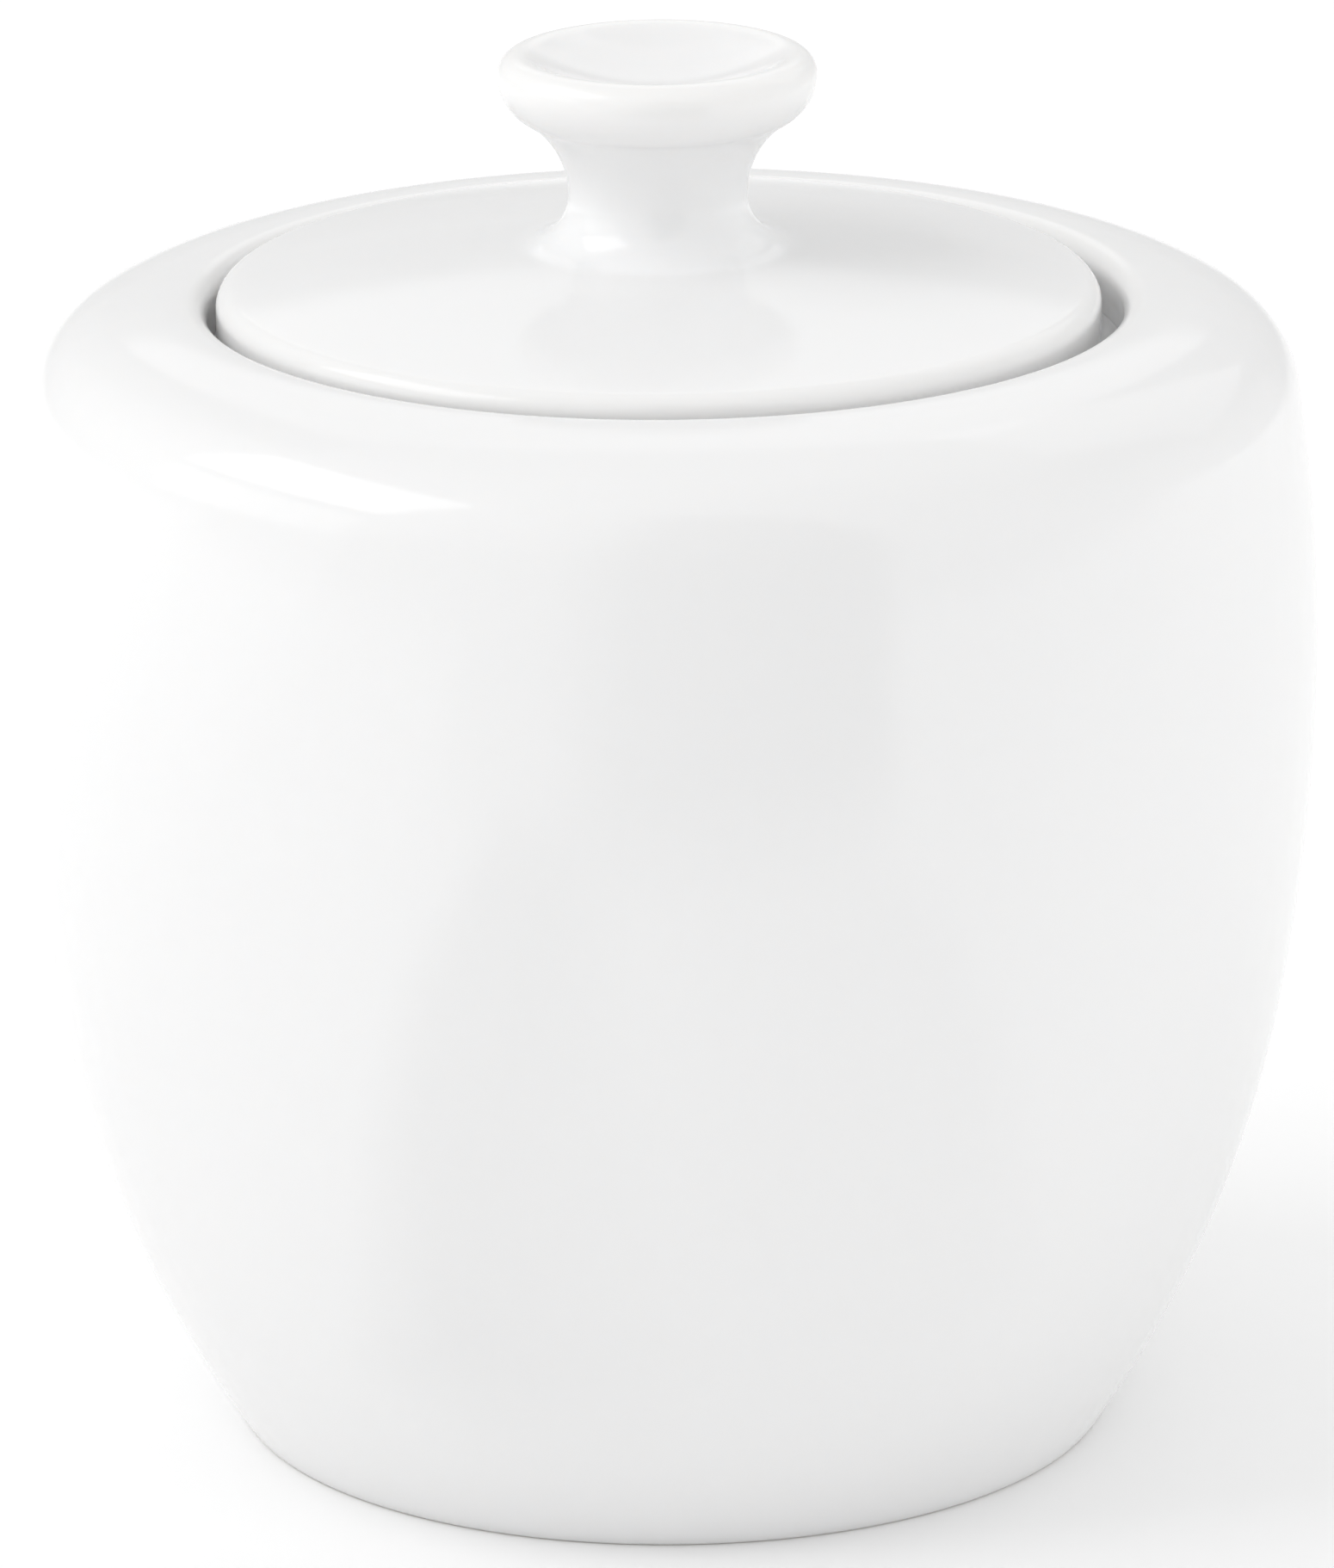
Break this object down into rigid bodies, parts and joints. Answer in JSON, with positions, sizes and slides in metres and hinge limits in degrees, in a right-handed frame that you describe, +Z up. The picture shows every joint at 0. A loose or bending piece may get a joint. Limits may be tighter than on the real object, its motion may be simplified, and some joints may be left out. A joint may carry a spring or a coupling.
{
  "type": "sugar bowl",
  "caption": "Round-bellied glazed bowl on a narrow foot, with a low domed lid that drops into the mouth and a flared, dished knob.",
  "frame": {"origin": "middle of the foot ring's resting plane", "axes": "+Z up, along the bowl's own turning axis; X and Y are level, the shape is round; the loose lid rests 0.45 mm off centre towards -X"},
  "size_m": [0.09, 0.09, 0.0972],
  "materials": {
    "glaze": "gloss"
  },
  "bodies": {
    "bowl": {"bowl_body": "glaze"},
    "lid": {"lid": "glaze", "lid_knob": "glaze"}
  },
  "joints": [
    {"name": "lid_lift", "type": "slide", "parent": "bowl", "child": "lid", "axis": [0, 0, 1], "range_m": [0, 0.04]}
  ]
}
